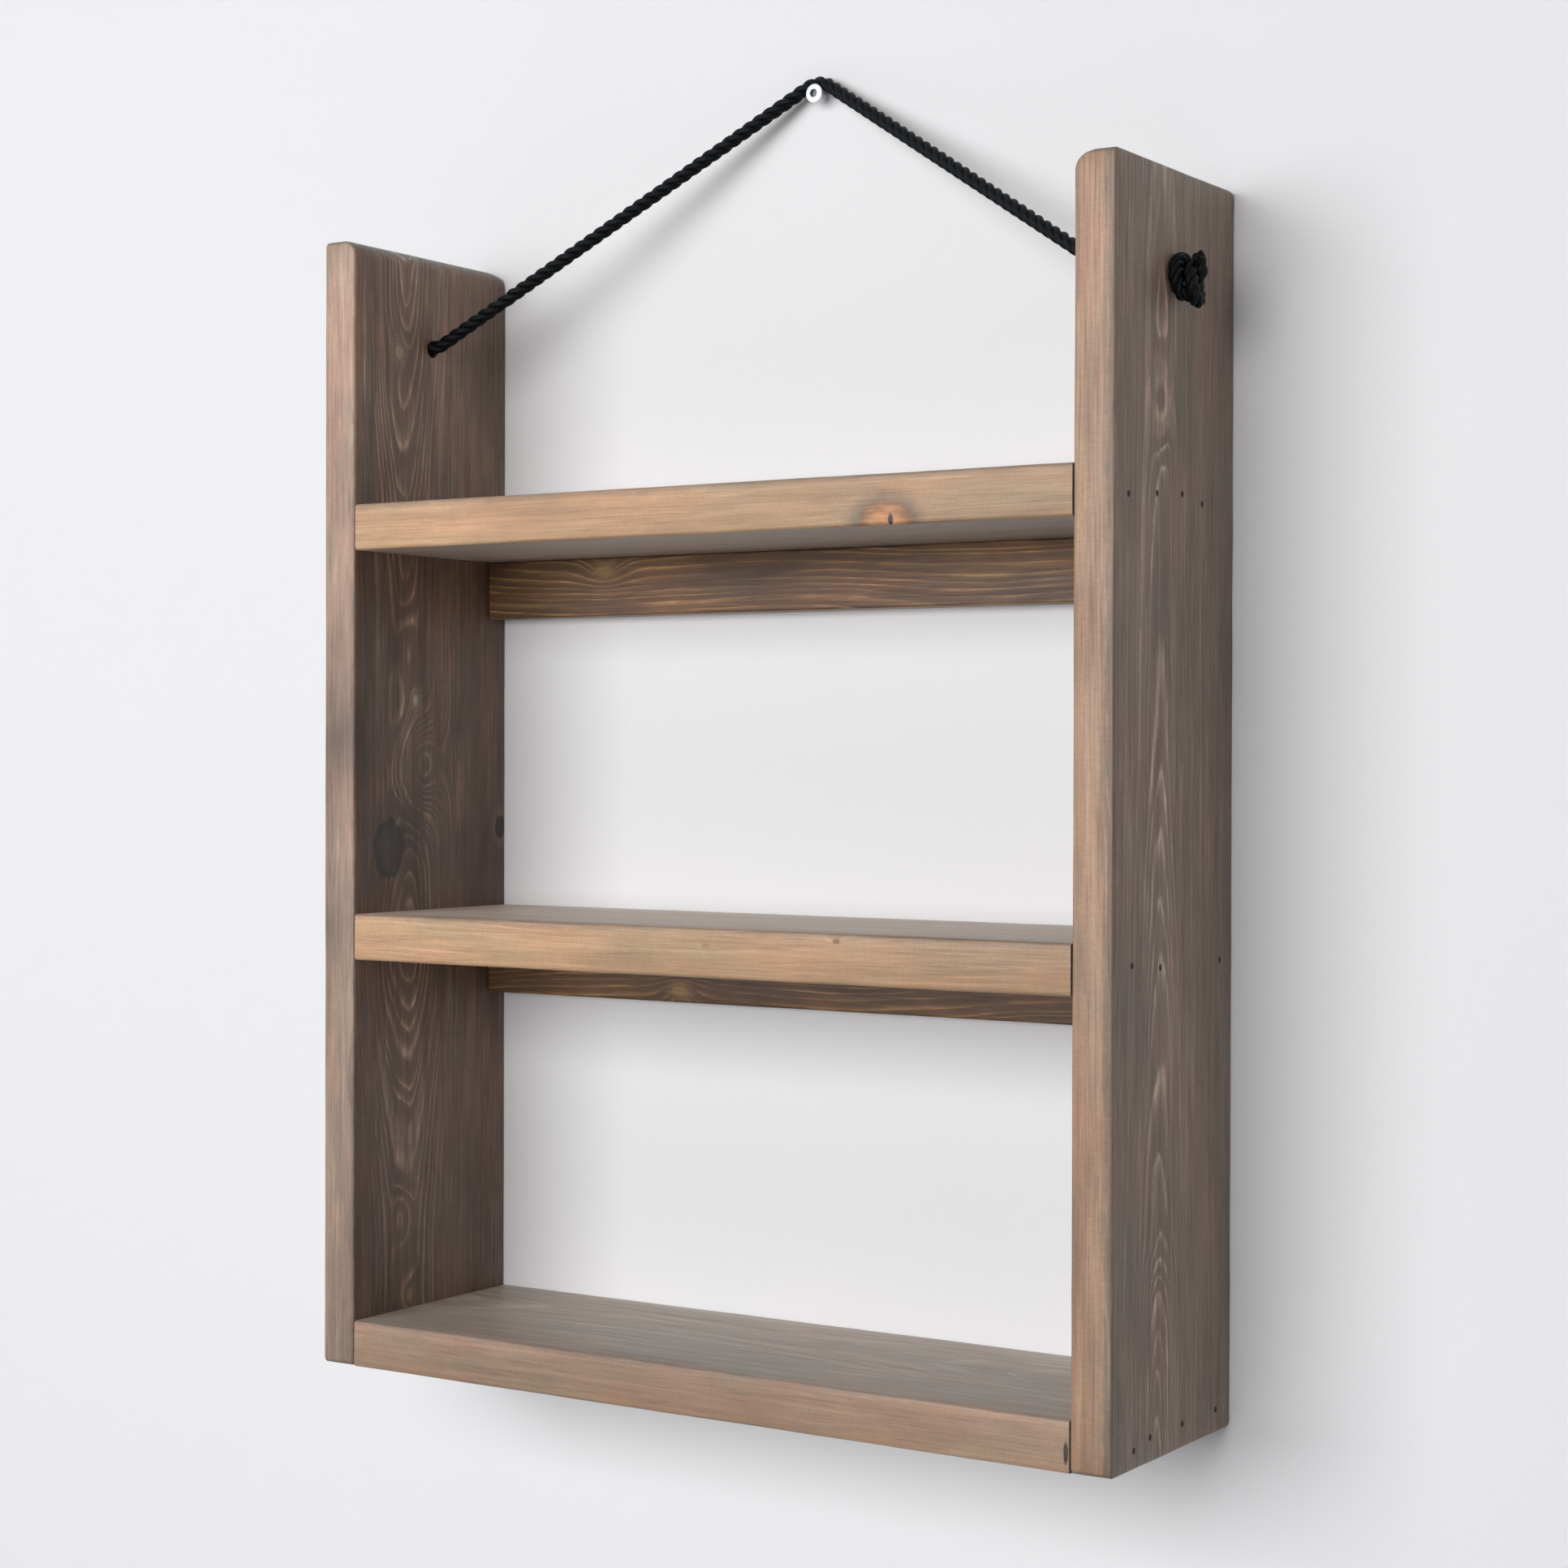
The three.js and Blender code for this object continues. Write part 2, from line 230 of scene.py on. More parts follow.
@dataclass(frozen=True)
class StainedPine:
    """Flat-sawn pine, planed, under a thin grey-brown stain.

    The soft early wood drinks the stain and goes dark, and the hard late wood stays a paler, pinker line, so
    the rings show light on dark, as pointed arches where they come out of the face. The front edges were sanded
    paler, with the stain left along their arrises, and the end grain has drunk the most and gone grey-green.
    """

    name: str
    early: str
    late: str
    edge_early: str
    edge_late: str
    end_early: str = "#55554e"
    end_late: str = "#85857a"
    ring_mm: float = 2.9
    squeeze: float = 1.45  # above 1 the rings are narrower across the board than into it
    pith_mm: tuple[float, float] = (-20.0, -28.0)  # across and into the board
    slope: float = 0.085
    bow: tuple[float, float, float] = (10.0, 900.0, -300.0)  # the pith's wave: rise, period and start
    wander_mm: float = 3.0
    figure_mm: float = 26.0  # how far from the pith the rings show strongly
    contrast: float = 0.9
    edge_contrast: float = 0.45
    lap: tuple[float, float] = (0.0, 0.7)  # middle and strength of the stain left on the front edge
    fade: float = 0.0  # how much lighter the board gets towards the end of its axis
    fibres: float = 0.24
    chatter: float = 0.05
    blotches: float = 0.2
    seed: float = 0.0
    knots: tuple[Knot, ...] = ()
    swirls: tuple[Swirl, ...] = ()
    shades: tuple[Swirl, ...] = ()

    def material(self, low: Vector, high: Vector, grain: Grain) -> bpy.types.Material:
        """Builds the wood of one board.

        Args:
            low: the board's lowest corner, in metres.
            high: its highest corner.
            grain: how the board was cut from the tree.

        Returns:
            The material.
        """
        material, add = new_material(self.name)
        centre = tuple((a + b) / 2 for a, b in zip(low, high))
        local = add("VectorMath SUBTRACT", add("TexCoord").node.outputs["Object"], centre)
        axes = add("SeparateXYZ", add("VectorMath SCALE", local, {"Scale": 1 / MM})).node.outputs
        half = tuple((high[i] - low[i]) / MM / 2 for i in grain.value)
        board = BoardSpace(add, tuple(axes[i] for i in grain.value), half, self.seed)
        rings = self._rings(board)
        # Wood fibres are 0.03 mm across: these are bundles, drawn as coarse as the picture can show.
        fibre = board.noise((40.0, 0.8, 0.8), 4.0, 40.0)
        streak = board.noise((160.0, 3.2, 3.2), 3.0)
        face = self._stained(add, (self.early, self.late), self.contrast, rings, streak, 0.2)
        edge = self._stained(add, (self.edge_early, self.edge_late), self.edge_contrast, rings, streak, 0.12)
        for knot in self.knots:
            if knot.through is Through.FACES:
                face = self._knot(board, face, knot)
            else:
                edge = self._knot(board, edge, knot)
        colour = self._front_edge(board, face, edge)
        colour = self._end_grain_and_painted_light(add, colour, rings, grain)
        shader = {
            "Base Color": self._mottle(board, colour),
            "Roughness": add("MapRange", fibre, 0.3, 0.7, 0.56, 0.43),
            "IOR": 1.5,
            "Specular IOR Level": 0.5,
            "Sheen Weight": 0.15,
            "Sheen Roughness": 0.35,
            "Sheen Tint": linear("#fff0e2"),
        }
        height = add("Math MULTIPLY_ADD", fibre, 1.2, rings)
        shader["Normal"] = add("Bump", {"Strength": 0.4, "Distance": 0.12 * MM, "Height": height})
        add("OutputMaterial", add("BsdfPrincipled", shader))
        return material

    def _rings(self, board: BoardSpace) -> Socket:
        """The growth rings: distance from a leaning, bowed pith, which swells round each knot.

        Args:
            board: the board.

        Returns:
            How much late wood there is, from 0 to 1.
        """
        add, (along, across, deep) = board.add, board.point
        rise, period, start = self.bow
        turn = 2 * math.pi / period
        wave = add("Math SINE", add("Math MULTIPLY_ADD", along, turn, -start * turn))
        climb = add("Math MULTIPLY_ADD", wave, rise, -self.pith_mm[1])
        depth = add("Math ADD", deep, add("Math MULTIPLY_ADD", along, self.slope, climb))
        meander = board.noise((150.0, 400.0, 400.0), 1.0, 5.0)
        aside = add("Math ADD", across, add("Math MULTIPLY_ADD", meander, -12.0, 6.0 - self.pith_mm[0]))
        flat = add("CombineXYZ", add("Math MULTIPLY", aside, self.squeeze), depth)
        radius = add("VectorMath LENGTH", flat)
        for grain_mm, reach in (((210.0, 30.0, 30.0), 2.0), ((48.0, 7.0, 7.0), 0.35)):
            radius = add("Math MULTIPLY_ADD", board.noise(grain_mm, 2.0), reach * self.wander_mm, radius)
        hills = [(across, swirl) for swirl in self.swirls]
        for k in self.knots:
            swell = Swirl(k.along, k.across, k.swell, 1.7 * k.radius * k.stretch, 1.5 * k.radius)
            hills.append((board.point[k.through.value], swell))
        for other, hill in hills:
            radius = add("Math MULTIPLY_ADD", board.bell(along, other, hill), hill.height, radius)
        years = add("Math MULTIPLY", radius, 1 / self.ring_mm)
        slow = add("Math MULTIPLY", years, 0.37)
        uneven = add("TexNoise", {"W": slow, "Scale": 1.0, "Detail": 1.0}, noise_dimensions="1D")
        ramp = add("ValToRGB", add("Math FRACT", add("Math MULTIPLY_ADD", uneven, 2.4, years)))
        stops = ramp.node.color_ramp.elements
        for stop in stops:
            stop.color = (0.1, 0.1, 0.1, 1)
        for position, value in ((0.25, 0.0), (0.6, 0.1), (0.78, 0.5), (0.87, 1.0), (0.93, 0.8)):
            stops.new(position).color = (value, value, value, 1)
        patch = add("MapRange", board.noise((90.0, 7.0, 7.0), 3.0, 9.0), 0.36, 0.64, 0.1, 1.1)
        broken = add("MapRange", board.noise((16.0, 3.0, 3.0), 2.0, 31.0), 0.36, 0.6, 0.55, 1.08)
        offset = add("Math MULTIPLY", aside, 1 / self.figure_mm)
        fall = add("Math MULTIPLY", add("Math MULTIPLY", offset, offset), -1.0)
        weight = add("MapRange", add("Math EXPONENT", fall), 0.0, 1.0, 0.3, 1.2)
        weight = add("Math MULTIPLY", weight, add("Math MULTIPLY", patch, broken))
        return add("Math MULTIPLY", ramp, weight)

    @staticmethod
    def _stained(
        add: Add, colours: tuple[str, str], contrast: float, rings: Socket, streak: Socket, streaky: float
    ) -> Socket:
        """Stain on early and late wood, in long soft streaks.

        Args:
            add: add_node for the material's tree.
            colours: of early and of late wood.
            contrast: how far the late wood goes towards its own colour.
            rings: how much late wood there is.
            streak: long soft noise.
            streaky: how much the streaks change the tone.

        Returns:
            The colour.
        """
        share = add("Math MULTIPLY", rings, contrast)
        links = {"Factor": share, "A": linear(colours[0]), "B": linear(colours[1])}
        tone = add("MapRange", streak, 0.3, 0.7, 1 - streaky, 1 + streaky)
        return add("VectorMath SCALE", add("Mix", links, **RGBA), {"Scale": tone})

    def _front_edge(self, board: BoardSpace, face: Socket, edge: Socket) -> Socket:
        """Lays the sanded colour on the front edge, with ragged stain left along its arrises.

        Args:
            board: the board.
            face: the broad faces' colour.
            edge: the sanded colour.

        Returns:
            The colour of the whole board.
        """
        add, (_, across, deep), (_, wide, thick) = board.add, board.point, board.half
        front = add("MapRange", across, 2.6 - wide, 0.8 - wide, 0.0, 1.0, **SOFT)
        middle, strength = self.lap
        aside = add("Math ABSOLUTE", add("Math SUBTRACT", deep, middle))
        aside = add("Math MULTIPLY_ADD", board.noise((9.0, 2.6, 2.6), 4.0, 3.0), 6.0, aside)
        lapped = add("MapRange", aside, thick + 1.0, thick + 6.0, 0.0, strength, **SOFT)
        stain = add("VectorMath SCALE", face, {"Scale": 0.8})
        edge = add("Mix", {"Factor": lapped, "A": edge, "B": stain}, **RGBA)
        return add("Mix", {"Factor": front, "A": face, "B": edge}, **RGBA)

    def _end_grain_and_painted_light(self, add: Add, colour: Socket, rings: Socket, grain: Grain) -> Socket:
        """Greys the sawn ends, and paints light on what faces up and shade on what faces down, as the normal
        tells.

        Args:
            add: add_node for the material's tree.
            colour: the colour of the sides.
            rings: how much late wood there is.
            grain: how the board was cut.

        Returns:
            The colour with end grain.
        """
        end = add("Mix", {"Factor": rings, "A": linear(self.end_early), "B": linear(self.end_late)}, **RGBA)
        facing = add("SeparateXYZ", add("TexCoord").node.outputs["Normal"]).node.outputs
        mask = add("MapRange", add("Math ABSOLUTE", facing[grain.value[0]]), 0.35, 0.8, 0.0, 1.0)
        colour = add("Mix", {"Factor": mask, "A": colour, "B": end}, **RGBA)
        # Painted light and shade: faces turned up are made lighter and faces turned down darker, as if lit from
        # above.
        return add("VectorMath SCALE", colour, {"Scale": add("MapRange", facing[2], -1.0, 1.0, 0.82, 1.12)})

    def _mottle(self, board: BoardSpace, colour: Socket) -> Socket:
        """Breaks the colour up with fibres, pores, saw marks, uneven stain and warm and green casts.

        Args:
            board: the board.
            colour: the colour so far.

        Returns:
            The broken colour.
        """
        add, (along, across, _), (long, _, _) = board.add, board.point, board.half
        tone = add("MapRange", along, -long, long, 1 - self.fade, 1 + self.fade)
        for grain_mm, detail, low, high, dark, light in (
            ((40.0, 0.8, 0.8), 4.0, 0.28, 0.72, -self.fibres, self.fibres),
            ((26.0, 0.8, 0.8), 1.0, 0.6, 0.72, 0.0, -0.2),  # resin pores, cut open lengthwise
            ((1.3, 4.5, 4.5), 3.0, 0.3, 0.7, -self.chatter, self.chatter),  # the saw's marks
            ((100.0, 22.0, 22.0), 4.0, 0.3, 0.7, -self.blotches, self.blotches),  # stain, soaked in unevenly
            ((30.0, 9.0, 9.0), 3.0, 0.3, 0.7, -self.blotches / 2, self.blotches / 2),
        ):
            layer = add("MapRange", board.noise(grain_mm, detail, grain_mm[0]), low, high, 1 + dark, 1 + light)
            tone = add("Math MULTIPLY", tone, layer)
        if self.shades:
            stray = board.noise((22.0, 9.0, 9.0), 3.0, 57.0)
            moved = [
                add("Math ADD", socket, add("MapRange", stray, 0.0, 1.0, -reach, reach))
                for reach, socket in ((13.0, along), (-7.0, across))
            ]
        for shade in self.shades:
            layer = add("Math MULTIPLY_ADD", board.bell(*moved, shade), shade.height, 1.0)
            tone = add("Math MULTIPLY", tone, layer)
        cast = add("MapRange", board.noise((70.0, 18.0, 18.0), 3.0, 13.0), 0.35, 0.65, 0.0, 1.0)
        links = {"Factor": cast, "A": (1.07, 0.98, 0.94, 1.0), "B": (0.95, 1.015, 0.995, 1.0)}
        tint = add("VectorMath SCALE", add("Mix", links, **RGBA), {"Scale": tone})
        return add("VectorMath MULTIPLY", colour, tint)

    def _knot(self, board: BoardSpace, colour: Socket, knot: Knot) -> Socket:
        """Paints a knot: a patchy core, dark at its rim of bark, in a warm resinous halo.

        Args:
            board: the board.
            colour: the colour of the wood round it.
            knot: the knot.

        Returns:
            The colour with the knot.
        """
        add = board.add
        place = add("CombineXYZ", board.point[0], board.point[knot.through.value])
        apart = add("VectorMath SUBTRACT", place, (knot.along, knot.across, 0.0))
        near = add("VectorMath LENGTH", add("VectorMath MULTIPLY", apart, (1 / knot.stretch, 1.0, 1.0)))
        near = add("Math MULTIPLY_ADD", board.noise((7.0, 5.0, 5.0), 3.0), knot.radius * 0.55, near)
        reach = knot.radius * 1.27
        glow = add("MapRange", near, reach * knot.spread, reach, 0.0, knot.glow, **SOFT)
        colour = add("Mix", {"Factor": glow, "A": colour, "B": linear(knot.halo)}, **RGBA)
        worn = add("MapRange", board.noise((9.0, 2.4, 2.4), 3.0, 17.0), 0.3, 0.7, 0.75, 1.3)
        rim = add("MapRange", near, reach * 0.55, reach * 0.98, 1.15, knot.bark)
        core = add("VectorMath SCALE", linear(knot.core)[:3], {"Scale": add("Math MULTIPLY", worn, rim)})
        inside = add("MapRange", near, reach * 1.06, reach * 0.9, 0.0, 0.92, **SOFT)
        return add("Mix", {"Factor": inside, "A": colour, "B": core}, **RGBA)


@dataclass(frozen=True)
class LaidRope:
    """Black polypropylene rope, three strands laid right-handed, each of fine yarns twisted the other way.

    The filaments are smooth, so the strands' backs shine faintly, with a cool teal cast where the window
    catches them, and the furrows between the strands stay black.
    """

    name: str = "black polypropylene rope"
    dark: str = "#040405"
    worn: str = "#151113"
    yarn_mm: float = 0.55
    yarns: int = 10

    def material(self) -> bpy.types.Material:
        """Builds the rope's material from its UV map: once round a strand, and metres along it.

        Returns:
            The material.
        """
        material, add = new_material(self.name)
        around, along = add("SeparateXYZ", add("UVMap", uv_map="lay")).node.outputs[:2]
        pitch = self.yarn_mm * self.yarns * 2.4 * MM
        turn = add("Math MULTIPLY_ADD", along, -1 / pitch, around)
        yarn = add("Math SINE", add("Math MULTIPLY", turn, 2 * math.pi * self.yarns))
        ridge = add("MapRange", yarn, -1.0, 1.0, 0.0, 1.0)
        where = add("TexCoord").node.outputs["Object"]
        share = add("Math MULTIPLY", ridge, add("TexNoise", {"Vector": where, "Scale": 700.0, "Detail": 3.0}))
        shader = {
            "Base Color": add("Mix", {"Factor": share, "A": linear(self.dark), "B": linear(self.worn)}, **RGBA),
            "Roughness": 0.5,
            "Normal": add("Bump", {"Strength": 0.6, "Distance": 0.15 * MM, "Height": ridge}),
            "Specular IOR Level": 0.14,
            "Specular Tint": linear("#d4eeee"),
        }
        add("OutputMaterial", add("BsdfPrincipled", shader))
        return material


@dataclass(frozen=True)
class PlatedSteel:
    """Steel with a thin coat, bright zinc or dulled by time and stain, uneven as a dipped coat is.

    The screw's drive recess is filled with painted shade, and the head is a little darker towards the recess.
    """

    name: str
    bright: str
    dull: str
    roughness: float
    metallic: float
    recess_mm: tuple[float, float] = (0.0, 0.0)  # the recess's radius, and how far from the wall its painted shade starts
    recess_shade: str = "#55575d"

    def material(self) -> bpy.types.Material:
        """Builds the metal.

        Returns:
            The material.
        """
        material, add = new_material(self.name)
        where = add("TexCoord").node.outputs["Object"]
        coat = add("TexNoise", {"Vector": where, "Scale": 900.0, "Detail": 4.0})
        colour = add("Mix", {"Factor": coat, "A": linear(self.dull), "B": linear(self.bright)}, **RGBA)
        if any(self.recess_mm):
            radius, depth = self.recess_mm
            off_axis = add("VectorMath LENGTH", add("VectorMath MULTIPLY", where, (1 / MM, 0.0, 1 / MM)))
            ahead = add("Math LESS_THAN", add("SeparateXYZ", where).node.outputs[1], -depth * MM)
            # Darkens the head towards the recess.
            worn = add("MapRange", off_axis, radius, radius + 1.8, 0.8, 1.0, **SOFT)
            colour = add("VectorMath SCALE", colour, {"Scale": worn})
            # Painted shade: the recess is filled with a flat dark grey, in front of the shank.
            shaded_recess = add("MapRange", off_axis, radius, radius + 0.35, ahead, 0.0, **SOFT)
            colour = add("Mix", {"Factor": shaded_recess, "A": colour, "B": linear(self.recess_shade)}, **RGBA)
        shader = {
            "Base Color": colour,
            "Roughness": add("MapRange", coat, 0.0, 1.0, self.roughness + 0.12, self.roughness - 0.08),
            "Metallic": self.metallic,
            "Normal": add("Bump", {"Strength": 0.2, "Distance": 0.05 * MM, "Height": coat}),
        }
        add("OutputMaterial", add("BsdfPrincipled", shader))
        return material


@dataclass(frozen=True)
class WallPaint:
    """Matt emulsion, off-white, which shows nothing from behind so that the shelf's back can be seen.

    The floor stands in the wall's shadow in some views, so there its paint is lifted for the camera alone.
    """

    name: str = "matt wall paint"
    colour: str = "#ebebec"
    lift: float = 0.0

    def material(self) -> bpy.types.Material:
        """Builds the paint.

        Returns:
            The material.
        """
        material, add = new_material(self.name)
        straight = add("LightPath").node.outputs["Is Camera Ray"]
        shader = {
            "Base Color": linear(self.colour),
            "Roughness": 0.9,
            "Emission Color": linear(self.colour),
            "Emission Strength": add("Math MULTIPLY", straight, self.lift),
        }
        unseen = add("Math MULTIPLY", add("NewGeometry").node.outputs["Backfacing"], straight)
        mixed = add("MixShader", unseen, add("BsdfPrincipled", shader), add("BsdfTransparent"))
        add("OutputMaterial", mixed)
        return material


def add_object(name: str, data: bpy.types.ID) -> bpy.types.Object:
    """Puts a mesh, a lamp or a camera in the scene.

    Args:
        name: the object's name.
        data: what it shows.

    Returns:
        The object.
    """
    made = bpy.data.objects.new(name, data)
    bpy.context.collection.objects.link(made)
    return made


def pick(block: bpy.types.Object) -> None:
    """Selects one object alone and makes it the active one.

    Args:
        block: the object.
    """
    bpy.ops.object.select_all(action="DESELECT")
    bpy.context.view_layer.objects.active = block
    block.select_set(True)


@contextmanager
def editing() -> Iterator[None]:
    """Edits the active mesh, starting with all of it selected.

    Returns:
        A context, after which the mesh is out of edit mode.
    """
    bpy.ops.object.mode_set(mode="EDIT")
    bpy.ops.mesh.select_all(action="SELECT")
    yield
    bpy.ops.object.mode_set(mode="OBJECT")


def modify(block: bpy.types.Object, kind: str, **values: object) -> None:
    """Gives an object a modifier and applies it.

    Args:
        block: the object.
        kind: the modifier's type.
        values: its settings.
    """
    pick(block)
    modifier = block.modifiers.new(kind.lower(), kind)
    for name, value in values.items():
        setattr(modifier, name, value)
    bpy.ops.object.modifier_apply(modifier=modifier.name)


def start_block(name: str, low: Vector | Place, high: Vector | Place) -> bpy.types.Object:
    """Adds a block between two corners, ready to be shaped, and leaves nothing else selected.

    Args:
        name: the piece's name.
        low: its lowest corner, in metres.
        high: its highest corner.

    Returns:
        The block, with its place in its mesh.
    """
    bpy.ops.object.select_all(action="DESELECT")
    bpy.ops.mesh.primitive_cube_add(size=1)
    block = bpy.context.object
    block.name = block.data.name = name
    with editing():
        bpy.ops.transform.resize(value=[b - a for a, b in zip(low, high)])
        bpy.ops.transform.translate(value=[(a + b) / 2 for a, b in zip(low, high)])
    return block


def lies(**planes: float) -> Callable[[Vector, Vector], bool]:
    """Makes a rule that picks the edges with both ends in some planes, each named by its axis."""
    return lambda a, b: all(abs(getattr(p, axis) - at) < NEAR for p in (a, b) for axis, at in planes.items())


def bevel_where(
    block: bpy.types.Object, chosen: Callable[[Vector, Vector], bool], offset: float, steps: int
) -> None:
    """Rounds the edges that a rule picks.

    Args:
        block: the object, which is the active one.
        chosen: takes an edge's two ends and says whether it is rounded.
        offset: the rounding's radius, in metres.
        steps: its segments.
    """
    with editing():
        bpy.ops.mesh.select_mode(type="EDGE")
        bpy.ops.mesh.select_all(action="DESELECT")
        shape = bmesh.from_edit_mesh(block.data)
        for edge in shape.edges:
            edge.select = chosen(edge.verts[0].co, edge.verts[1].co)
        shape.select_flush_mode()
        bmesh.update_edit_mesh(block.data)
        bpy.ops.mesh.bevel(offset=offset, segments=steps, profile=0.5, affect="EDGES", clamp_overlap=True)


def cut_across(axis: int, low: Vector, high: Vector, count: int) -> None:
    """Divides the active block evenly by planes, so that it can bend and wear between them.

    Args:
        axis: the axis that the planes stand across.
        low: the block's lowest corner, in metres.
        high: its highest corner.
        count: how many parts it is cut into.
    """
    normal = [float(i == axis) for i in range(3)]
    with editing():
        for i in range(1, count):
            bpy.ops.mesh.select_all(action="SELECT")
            place = low[axis] + (high[axis] - low[axis]) * i / count
            bpy.ops.mesh.bisect(plane_co=[k * place for k in normal], plane_no=normal)


def combine(block: bpy.types.Object, other: bpy.types.Object, operation: str) -> None:
    """Applies a boolean and removes the object that was used for it.

    Args:
        block: the object that is kept.
        other: the object that is used up.
        operation: the modifier's operation.
    """
    modify(block, "BOOLEAN", operation=operation, object=other, solver="EXACT")
    bpy.data.objects.remove(other, do_unlink=True)


def wear(block: bpy.types.Object, depth: float, patch: float) -> None:
    """Leaves a board's faces slightly uneven, as hand planing does.

    Args:
        block: the board.
        depth: how far its skin strays, in metres.
        patch: how wide each hollow is.
    """
    clouds = bpy.data.textures.new(block.name + "_hollows", "CLOUDS")
    clouds.noise_scale, clouds.noise_depth = patch, 2
    modify(block, "DISPLACE", texture=clouds, texture_coords="LOCAL", strength=depth, mid_level=0.5)
    bpy.ops.object.shade_smooth_by_angle(angle=math.radians(35))


def finish_piece(
    piece: bpy.types.Object, material: bpy.types.Material, body: str, slot: str, *nodes: str
) -> None:
    """Dresses a piece, puts it on its body and reports it.

    Args:
        piece: the piece.
        material: its finish.
        body: the body that it moves with.
        slot: a material slot's name, not used.
        nodes: the nodes that it stands for.
    """
    piece.data.materials.clear()
    piece.data.materials.append(material)
    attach(piece, body)
    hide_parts(*nodes)
    LOG.info("%s: %d faces", piece.name, len(piece.data.polygons))


@dataclass
class SideBoards:
    """The two tall boards, eased at their top ends, with the rope's holes and the nails' pockets."""

    nodes: dict[str, bpy.types.Object]
    corner: float = 3.2 * MM
    arris: float = 1.5 * MM
    weld: float = 1.2 * MM
    strips: tuple[int, int] = (44, 8)  # up the board and across it
    hollow_depth: float = 0.5 * MM
    hollow_width: float = 45 * MM
    hole_radius: float = 5 * MM
    hole_reach: float = 45 * MM
    hole_z: float = -135.8 * MM
    hole_y: float = -70 * MM
    nail_radius: float = 1.7 * MM
    nail_reach: float = 3.2 * MM
    # The width and height of the eased inner top corner, and the back corner's radius.
    eases: dict[Side, tuple[float, float, float]] = field(
        default_factory=lambda: {
            Side.LEFT: (10 * MM, 9 * MM, 12 * MM),
            Side.RIGHT: (12 * MM, 9.5 * MM, 4.5 * MM),
        }
    )

    @staticmethod
    def finish(side: Side) -> StainedPine:
        """The wood of each board.

        Args:
            side: which board.

        Returns:
            Its finish.
        """
        if side is Side.LEFT:
            knots = (
                Knot(-26.9, -39.7, 14, stretch=1.32, swell=7, core="#3f3632", halo="#544640", glow=0.5),
                Knot(-15.5, 65, 4.5, stretch=1.6, swell=5, core="#2c221d", halo="#8f6a58"),
                Knot(60.3, -15.4, 3.2, swell=3, core="#a2977c", halo="#857660"),
                Knot(265, -30.6, 5, swell=4, core="#8a7662", halo="#7d6a58", glow=0.5),
                Knot(-291.2, -19.8, 4.5, swell=4, core="#8a735c", halo="#786656", glow=0.5),
            )
            swirls = (
                Swirl(22, -11, 32, 21, 14),
                Swirl(87.3, -23.6, 8, 18, 8),
                Swirl(-244.5, -27.3, 6, 11, 6),
                Swirl(-80, -42, -4, 40, 26),
            )
            shades = (
                Swirl(38, -64, -0.45, 20, 16),
                Swirl(-14, -22, -0.35, 20, 12),
                Swirl(-35, 48, -0.42, 24, 16),
                Swirl(10, 25, 0.22, 20, 14),
                Swirl(115, 20, 0.2, 60, 22),
                Swirl(300, -40, 0.45, 95, 50),
                Swirl(-150, -10, 0.35, 60, 40),
            )
            return StainedPine(
                "stained pine, left side", "#665042", "#c0a08a", "#937b6b", "#c5a88d",
                pith_mm=(-24.0, -33.0), slope=-0.045, bow=(6.5, 380.0, 35.0), lap=(-1.5, 0.7), fade=0.1,
                blotches=0.3, contrast=0.75, seed=3.1, knots=knots, swirls=swirls, shades=shades,
            )
        swirls = (
            Swirl(207, -18, 7, 15, 10),
            Swirl(-69, -10, -3, 60, 18),
            Swirl(-215, -24, 4, 16, 9),
            Swirl(-250, 5, -3, 30, 20),
        )
        shades = (
            Swirl(120, -45, 0.12, 110, 14),
            Swirl(-170, 10, 0.14, 70, 40),
            Swirl(60, 55, -0.14, 120, 14),
            Swirl(0, 5, 0.09, 90, 40),
        )
        return StainedPine(
            "stained pine, right side", "#786556", "#cfb8a6", "#9a7b63", "#c9a98a",
            pith_mm=(-18.0, -28.0), slope=0.085, bow=(10.0, 900.0, -300.0), lap=(-5.0, 0.85), fade=0.08,
            figure_mm=17.0, chatter=0.08, seed=7.7, swirls=swirls, shades=shades,
        )

    def _outline(self, side: Side, low: Vector, high: Vector) -> bpy.types.Object:
        """The board seen from the side, with its corners rounded, met with the board seen from the front.

        Args:
            side: which board.
            low: its lowest corner, in metres.
            high: its highest corner.

        Returns:
            The board, with its arrises sharp.
        """
        ease_width, ease_height, back_corner = self.eases[side]
        board = start_block(f"{side.label}_board", low, high)
        for z, y, radius in (
            (low.z, low.y, self.corner),
            (low.z, high.y, self.corner),
            (high.z, low.y, self.corner),
            (high.z, high.y, back_corner),
        ):
            bevel_where(board, lies(y=y, z=z), radius, 3)
        over = 5 * MM
        front = start_block("front_view", (low.x, low.y - over, low.z - over), (high.x, high.y + over, high.z))
        inner = lies(x=low.x if side is Side.RIGHT else high.x)
        squeeze = ease_width / ease_height
        top = high.z * squeeze - over
        self._scale_height(squeeze)
        bevel_where(front, lambda a, b: inner(a, b) and a.z > top and b.z > top, ease_width, 6)
        self._scale_height(1 / squeeze)
        combine(board, front, "INTERSECT")
        return board

    @staticmethod
    def _scale_height(factor: float) -> None:
        """Stretches the active block's heights about the frame's origin."""
        with editing():
            bpy.ops.transform.resize(value=(1, 1, factor), center_override=(0, 0, 0))

    def _ease(self, board: bpy.types.Object) -> None:
        """Welds the slivers that two views leave where they meet, then rounds the arrises.

        Args:
            board: the board.
        """
        pick(board)
        with editing():
            bpy.ops.mesh.remove_doubles(threshold=self.weld)
            bpy.ops.mesh.dissolve_limited(angle_limit=0.01)
        rule = {"limit_method": "ANGLE", "angle_limit": SHARP, "use_clamp_overlap": False}
        modify(board, "BEVEL", width=self.arris, segments=3, **rule)

